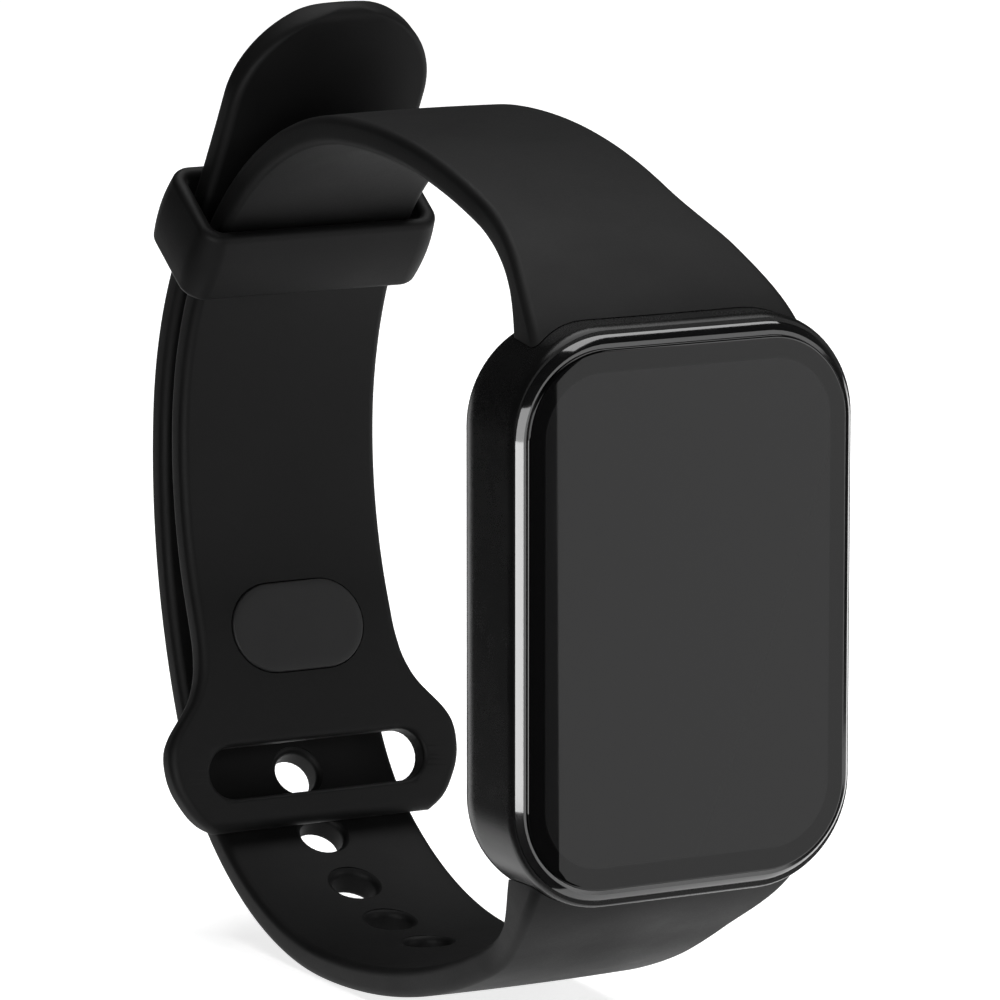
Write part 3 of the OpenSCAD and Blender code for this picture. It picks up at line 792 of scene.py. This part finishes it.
def buildCaseShell(look):
    shell = loft("caseShell", caseLevels(look), "shellSatin", perCorner=20)
    tidyMesh(shell.data)
    cutters = [
        loft("ringPocket", [(-13, *look["ringPocket"]), (look["ledge"], *look["ringPocket"])], perCorner=20),
        loft("windowCut", [(look["ledge"] - 0.2, *look["window"]),
                           (look["cavityFront"] + 0.2, *look["window"])]),
        loft("cavityCut", [(look["cavityFront"], *look["cavity"]), (look["backWall"], *look["cavity"])]),
        loft("coverHole", [(look["backWall"] - 0.2, *look["coverHole"]),
                           (look["coverFront"] + 0.2, *look["coverHole"])]),
        loft("coverPocket", [(look["coverFront"], *look["coverPocket"]), (0.5, *look["coverPocket"])],
             perCorner=20),
    ]
    for side in (-1, 1):
        z = side * look["channelZ"]
        cutters.append(turned("channel", [(look["channelR"], look["stopX"]), (look["channelR"], 20)],
                              (0, look["channelY"], z), axis="X"))
        lo, hi = sorted((z, side * (look["length"] / 2 + 1)))
        cutters.append(slab("neckSlot", (look["neckFrom"], look["channelY"] - look["neckHalf"], lo),
                            (20, look["channelY"] + look["neckHalf"], hi)))
        bore = [(0.65, -4.9), (0.65, -2.85), (1.35, -2.85), (1.35, -1.62), (1.55, -1.42), (1.55, 1)]
        cutters.append(turned("latchBore", bore, (0, 0, z)))
    carve(shell, cutters, 32)
    tube = [(0.6, -8.4), (1.3, -8.4), (1.3, -2.98), (0.6, -2.98), (0.6, -8.4)]
    bosses = repeat("screwBosses", turned("bossTube", tube, (0, 0, 0), sides=24),
                    [(sx * look["bossX"] * mm, 0, sz * look["bossZ"] * mm)
                     for sx in (-1, 1) for sz in (-1, 1)],
                    [(0, 0, 0)] * 4, "shellSatin")
    joinMeshes(shell, [bosses])
    return weighNormals(shell)


# the case's outline with a hair's gap, cut out of both band roots
def caseImprint(look):
    gap = look["imprintGap"]
    size = (look["width"] + 2 * gap, look["length"] + 2 * gap, look["corner"] + gap)
    return loft("caseImprint", [(-20, *size), (10, *size)], perCorner=20)


shell = buildCaseShell(caseLook)
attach(shell, "case")
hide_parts("case_body")
print("case shell built:", len(shell.data.polygons), "faces")

# Upper strap, the inner layer
upperStrap = {
    "start": (-7.8, 16.7), "heading": 67.5, "outside": 1, "end": 116.6,
    "bends": ((12.4, -40.8), (11.4, -10.7), (18, -18.4), (22.8, -47), (19, -38.2), (14.5, -23), (20, 4.8)),
    "rootHalf": 11.6, "waistHalf": 8.2, "farHalf": 8.85, "thick": 2.3, "rootThick": 4.4, "endThick": 2.15,
    "edgeRound": 0.72, "crown": 0.08,
    "slotAt": 111.9, "slotHalfLong": 9.75, "slotHalfWide": 2.1, "slotFlare": 0.45,
    "studAt": 99.4, "plateAt": 100.6, "plateHalfLong": 6.0, "plateHalfWide": 3.75, "plateDeep": 0.5,
    "endPlan": ((-29.5, 7.6), (-29, 8), (-27.7, 8.7), (-26.1, 11.2), (-24.4, 12.33), (-23, 12.97),
                (-21.8, 13.1),
                (-20.7, 13.1), (-19.6, 12.75), (-18.7, 12), (-17.7, 11.05), (-16.8, 10.2), (-14.8, 9.25),
                (-12.6, 8.9), (-9.6, 8.85)),
}


def upperHalfWide(look, s):
    y, z = pointAt(look, s)
    wide = (look["rootHalf"] - (look["rootHalf"] - look["waistHalf"]) * ease(s / 19)
            + (look["farHalf"] - look["waistHalf"]) * ease((s - 40) / 40))
    if s > 92:
        wide = sum(lookUp(look["endPlan"], z + shift * 0.35) for shift in (-2, -1, 0, 1, 2)) / 5
    return wide


def upperHalfThick(look, s):
    full = (look["thick"] + (look["rootThick"] - look["thick"]) * (1 - ease(s / 10))
            - (look["thick"] - look["endThick"]) * ease((s - 100) / 8)) / 2
    return full * (1 - 0.93 * cornerLoss(s, look["end"], 1.0))


def evenly(start, stop, step):
    count = max(1, round((stop - start) / step))
    return [start + (stop - start) * i / count for i in range(count + 1)]


def withPoles(rows):
    return [{**row, "halfWide": 0.0, "halfThick": 0.0} if pole else row
            for row, pole in ((rows[0], True), *((row, False) for row in rows), (rows[-1], True))]


def buildUpperStrap(look):
    spots = evenly(0, 96, 0.8) + evenly(96.4, look["end"] - 1, 0.4)
    spots += [look["end"] - 1 + math.sin(math.radians(90 * i / 8)) for i in range(1, 9)]
    rows = [station(look, s, upperHalfWide(look, s), upperHalfThick(look, s)) for s in spots]
    piece = sweep("upperStrap", withPoles(rows), look["edgeRound"], look["crown"], "siliconeBlack")
    t = look["thick"] / 2
    slot = onBand(flaredCutter("slotCutter", look["slotHalfLong"], look["slotHalfWide"], look["endThick"] / 2,
                               look["slotFlare"], look["slotFlare"]), look, look["slotAt"])
    stud = onBand(flaredCutter("studCutter", 1.45, 1.45, t, 0.1, 0.1), look, look["studAt"])
    recess = flaredCutter("recessCutter", look["plateHalfLong"], look["plateHalfWide"], 1.0, 0.0, 0.0)
    onBand(recess, look, look["plateAt"], -t - 1.0 + look["plateDeep"] + 0.03)
    neck = slab("neckBlock", (-9.5, -5.65, 18), (9.5, -4.15, 22.3))
    carve(piece, [slot, stud, caseImprint(caseLook), neck])
    carve(piece, [recess])
    return weighNormals(piece)


strapTop = buildUpperStrap(upperStrap)
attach(strapTop, "band")
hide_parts("upper_band")
print("upper strap built:", len(strapTop.data.polygons), "faces")

# Lower strap, the outer layer, and its tongue
lowerStrap = {
    "start": (-6.9, -18.9), "heading": -56.6, "outside": -1, "end": 136.9,
    "bends": ((15.6, 32.6), (26.6, 24.3), (19.7, 37.7), (7.5, 23.7), (8, 10), (21.1, 23.3),
              (14.7, 29.2), (24.5, -7.5)),
    "rootHalf": 11.6, "waistHalf": 9.05, "farHalf": 8.7, "thick": 2.3, "rootThick": 4.4,
    "edgeRound": 0.72, "crown": 0.08,
    "firstHole": 40.9, "holePitch": 6.55, "holeCount": 9, "holeHalf": 1.8, "flareOut": 0.35, "flareIn": 0.6,
    "bendFrom": 119.5, "bendTo": 128.5,
}


def buildLowerStrap(look):
    end = look["end"]
    tipRound = look["farHalf"] - 0.3
    spots = evenly(0, 128, 0.8) + evenly(128.4, end - 1.2, 0.4)
    spots += [end - 1.2 + 1.2 * math.sin(math.radians(90 * i / 9)) for i in range(1, 10)]
    rows = []
    for s in spots:
        wide = (look["rootHalf"] - (look["rootHalf"] - look["waistHalf"]) * ease(s / 14)
                - (look["waistHalf"] - look["farHalf"]) * ease((s - 40) / 40) - cornerLoss(s, end, tipRound))
        thick = (look["thick"] + (look["rootThick"] - look["thick"]) * (1 - ease(s / 10))) / 2
        thick *= 1 - 0.93 * cornerLoss(s, end, 1.1) / 1.1
        rows.append(station(look, s, wide, thick))
    piece = sweep("lowerStrap", withPoles(rows), look["edgeRound"], look["crown"], "siliconeBlack")
    punch = flaredCutter("holePunch", look["holeHalf"], look["holeHalf"], look["thick"] / 2, look["flareOut"],
                         look["flareIn"])
    spotsAt, turns = [], []
    for i in range(look["holeCount"]):
        s = look["firstHole"] + i * look["holePitch"]
        y, z = pointAt(look, s)
        spotsAt.append((0, y * mm, z * mm))
        turns.append((math.radians(headingAt(look, s) + 180), 0, 0))
    punches = repeat("holePunches", punch, spotsAt, turns)
    neck = slab("neckBlock", (-9.5, -5.65, -22.3), (9.5, -4.15, -18))
    carve(piece, [punches, caseImprint(caseLook), neck])
    return weighNormals(piece)


strapBottom = buildLowerStrap(lowerStrap)
bendStart = pointAt(lowerStrap, lowerStrap["bendFrom"])
bendEnd = pointAt(lowerStrap, lowerStrap["bendTo"])
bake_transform(strapBottom)
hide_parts("lower_band", "tongue_tip")
print("lower strap built:", len(strapBottom.data.polygons), "faces")

# Keeper loop
keeperLook = {
    "centre": (27.37, 3.72), "angle": 35.8, "innerR": 26.7, "outerR": 33.2, "halfWide": 9.4,
    "wall": 1.25, "long": 6.8, "outerCorner": 2.0, "edgeRound": 0.6, "crown": 0.35,
}


def buildKeeper(look):
    midR = (look["innerR"] + look["outerR"]) / 2
    wall = look["wall"]
    wide = 2 * look["halfWide"] + wall
    tall = look["outerR"] - look["innerR"] + wall
    corner = look["outerCorner"] - wall / 2
    loop = roundedLoop(wide, tall, corner, perCorner=10, perSide=8)
    a = math.radians(look["angle"])
    radial = Vector((0, math.cos(a), math.sin(a)))
    along = Vector((0, -math.sin(a), math.cos(a)))
    centre = Vector((0, look["centre"][0], look["centre"][1])) + radial * midR
    rows = []
    count = len(loop)
    for i in range(count + 1):
        x, r = loop[i % count]
        back, ahead = loop[(i - 1) % count], loop[(i + 1) % count]
        run = Vector((ahead[0] - back[0], 0, 0)) + radial * (ahead[1] - back[1])
        outward = run.cross(along).normalized()
        middle = Vector((x, 0, 0)) + radial * r
        if outward.dot(middle) < 0:
            outward = -outward
        rows.append({"at": tuple((centre + middle) * mm), "side": tuple(along), "outward": tuple(outward),
                     "halfWide": look["long"] / 2 * mm, "halfThick": wall / 2 * mm})
    return sweep("keeperBand", rows, look["edgeRound"], look["crown"], "siliconeBlack")


keeper = weighNormals(buildKeeper(keeperLook))
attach(keeper, "keeper")
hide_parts("keeper_loop")
print("keeper built:", len(keeper.data.polygons), "faces")

# Stud plate and stud
clasp = {"plateHalfLong": 5.90, "plateHalfWide": 3.65, "plateFrom": -1.32, "plateTo": -0.66, "edge": 0.16,
         "studR": 1.2, "headR": 2.6, "headThick": 1.0, "headEdge": 0.3, "gap": 0.35}


def buildStudPlate(look):
    r = look["plateHalfWide"]
    straight = look["plateHalfLong"] - r
    e = look["edge"]
    levels = [(look["plateTo"], 0.0), (look["plateFrom"] + e, 0.0)]
    levels += [(look["plateFrom"] + e - y, e - x) for x, y in arc(e, (0, 0), 0, 90, 5)[1:]]
    levels += [(look["plateFrom"], e + 0.5), (look["plateFrom"] + 0.03, r - 1.6),
               (look["plateFrom"] + 0.03, r - 0.4)]
    around = 18
    count = 2 * (around + 1)
    verts = [(x * mm, y * mm, z * mm) for z, inset in levels
             for x, y in oblongLoop(straight, r - inset, around)]
    return fromParts("studPlateInlay", verts, rowFaces(len(levels), count) + endFaces(len(levels), count),
                     "plateSilicone")


inlay = onBand(buildStudPlate(clasp), upperStrap, upperStrap["plateAt"])
tidyMesh(inlay.data)
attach(inlay, "band")
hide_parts("stud_plate")


def buildStud(look):
    studS = lowerStrap["firstHole"] + 6 * lowerStrap["holePitch"]
    low, high = pointAt(lowerStrap, studS), pointAt(upperStrap, upperStrap["studAt"])
    reach = math.dist(low, high) + upperStrap["thick"] / 2
    base, head = -upperStrap["thick"] / 2 + 0.35, reach + look["gap"]
    top, e = head + look["headThick"], look["headEdge"]
    profile = [(0, base), (look["studR"], base), (look["studR"], head - 0.25), (look["studR"] + 0.25, head)]
    profile += [(look["headR"] - 0.15, head), (look["headR"], head + 0.15), (look["headR"], top - e)]
    profile += arc(e, (look["headR"] - e, top - e), 0, 90, 6)[1:]
    profile += [(look["headR"] - 0.9, top), (look["headR"] - 1.1, top - 0.08), (0, top - 0.08)]
    return turned("claspStudPin", profile, (0, 0, 0), axis="Z", skin="studMetal")


pin = onBand(buildStud(clasp), upperStrap, upperStrap["studAt"])
tidyMesh(pin.data, 30)
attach(pin, "band")
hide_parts("clasp_stud")
print("clasp built")

# Rim and glass
rimLook = {"outer": (28.48, 42.16, 7.53), "top": (27.6, 41.0, 7.0), "inner": (27.05, 40.35, 6.55),
           "shoulder": -10.27, "front": -10.80, "back": -9.9, "bulge": 0.035}


def buildRim(look):
    levels = [(look["back"], *look["outer"]), (look["shoulder"] + 0.06, *look["outer"])]
    for i in range(9):
        t = i / 8
        swell = look["bulge"] * 4 * t * (1 - t)
        size = [o + (n - o) * t + swell for o, n in zip(look["outer"], look["top"])]
        levels.append((look["shoulder"] + (look["front"] - look["shoulder"]) * t - swell / 2, *size))
    levels += [(look["front"] + 0.03, *look["inner"]), (look["back"], *look["inner"])]
    verts = loopRows(levels, 20)
    count = len(verts) // len(levels)
    return fromParts("rimRing", verts, rowFaces(len(levels), count, wrap=True), "rimPolish")


rim = buildRim(rimLook)
tidyMesh(rim.data)
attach(rim, "case")
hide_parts("bezel_ring")


def buildGlass(look):
    w, l, c = look["width"], look["length"], look["corner"]
    back = look["front"] + look["thick"]
    drop, wide = look["edgeDrop"], look["edgeWide"]
    levels = [(back, w, l, c), (look["front"] + drop + 0.12, w, l, c)]
    steps = 22
    for i in range(steps + 1):
        t = 1 - i / steps
        depth = drop * (1 - math.sqrt(max(0.0, 1 - t * t)))
        inset = wide * (1 - t)
        levels.append((look["front"] + depth, w - 2 * inset, l - 2 * inset, max(c - inset, 0.6)))
    levels.append((look["front"], w - 2 * wide - 0.6, l - 2 * wide - 0.6, c - wide - 0.3))
    return loft("coverGlass", levels, "blackGlass", perCorner=24)


glass = buildGlass(coverGlass)
tidyMesh(glass.data, 60)
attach(glass, "case")
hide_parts("front_glass")
print("rim and glass built")

# Back cover, window, contacts and latches
backLook = {
    "cover": (22.6, 30.6, 5.0), "front": -2.2, "back": -1.2, "edge": 0.35, "seat": 0.0,
    "boss": (19.0, 19.0, 7.5),
    "bossStraight": 0.35, "bossRound": 0.75, "windowR": 5.5, "contactX": 3.2, "contactZ": -12.0,
}


def roundOver(y, rise, size, inset, stepDeg, steps):
    levels = []
    for i in range(1, steps + 1):
        a = math.radians(stepDeg * i)
        cut = inset * (1 - math.cos(a))
        levels.append((y + rise * math.sin(a), size[0] - 2 * cut, size[1] - 2 * cut, size[2] - cut))
    return levels


def buildBackCover(look):
    edge, shoulder = look["edge"], look["back"] + look["bossStraight"]
    levels = [(look["front"], *look["cover"]), (look["back"] - edge, *look["cover"])]
    levels += roundOver(look["back"] - edge, edge, look["cover"], edge, 18, 5)
    plate = loft("backCoverShell", levels, "coverGloss", perCorner=18)
    levels = [(look["back"] - 0.3, *look["boss"]), (shoulder, *look["boss"])]
    levels += roundOver(shoulder, look["seat"] - shoulder, look["boss"], look["bossRound"], 10, 9)
    dome = loft("boss", levels, "coverGloss", perCorner=24)
    tidyMesh(plate.data)
    tidyMesh(dome.data)
    add = plate.modifiers.new("add", "BOOLEAN")
    add.operation = "UNION"
    add.object = dome
    add.solver = "EXACT"
    settle(plate)
    bpy.data.objects.remove(dome)
    bore = [(look["windowR"] - 0.7, -3), (look["windowR"] - 0.7, -0.8), (look["windowR"], -0.8),
            (look["windowR"], -0.1), (look["windowR"] + 0.1, 0), (look["windowR"] + 0.1, 1)]
    cutters = [turned("windowBore", bore, (0, 0, 0), sides=72)]
    for side in (-1, 1):
        cutters.append(turned("contactBore", [(1.1, -3), (1.1, -1.32), (1.22, -1.2), (1.22, 0.2)],
                              (side * look["contactX"], 0, look["contactZ"])))
    carve(plate, cutters, 30)
    return weighNormals(plate)


cover = buildBackCover(backLook)
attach(cover, "case")
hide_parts("back_cover")

lensR = backLook["windowR"]
lens = [(0, -0.8), (lensR, -0.8), (lensR, -0.12), (lensR - 0.04, -0.04), (lensR - 0.12, 0.0), (0, 0.0)]
window = turned("sensorLens", lens, (0, 0, 0), sides=72, skin="windowDark")
tidyMesh(window.data, 30)
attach(window, "case")
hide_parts("sensor_window")

dish = [(0, -2.5), (1.1, -2.5), (1.1, -1.3), (1.0, -1.16), (0.86, -1.15), (0.7, -1.2), (0, -1.24)]
contacts = repeat("chargingPins", turned("pinShape", dish, (0, 0, 0), sides=40),
                  [(s * backLook["contactX"] * mm, 0, backLook["contactZ"] * mm) for s in (-1, 1)],
                  [(0, 0, 0)] * 2, "contactGold")
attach(contacts, "case")
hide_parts("charging_contacts")

latchShape = [(0, -3.2), (0.5, -3.2), (0.6, -3.1), (0.6, -2.25), (1.3, -2.25), (1.3, -1.6), (1.25, -1.49),
              (1.14, -1.45), (0.9, -1.46), (0.5, -1.56), (0, -1.6)]
for side, node, body in ((1, "top_latch_button", "top_latch"), (-1, "bottom_latch_button", "bottom_latch")):
    name = "latchKeyTop" if side > 0 else "latchKeyBottom"
    key = turned(name, latchShape, (0, 0, side * caseLook["channelZ"]), sides=40, skin="latchMetal")
    tidyMesh(key.data, 30)
    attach(key, body)
    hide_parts(node)
print("back parts built")

bpy.data.objects.remove(section)
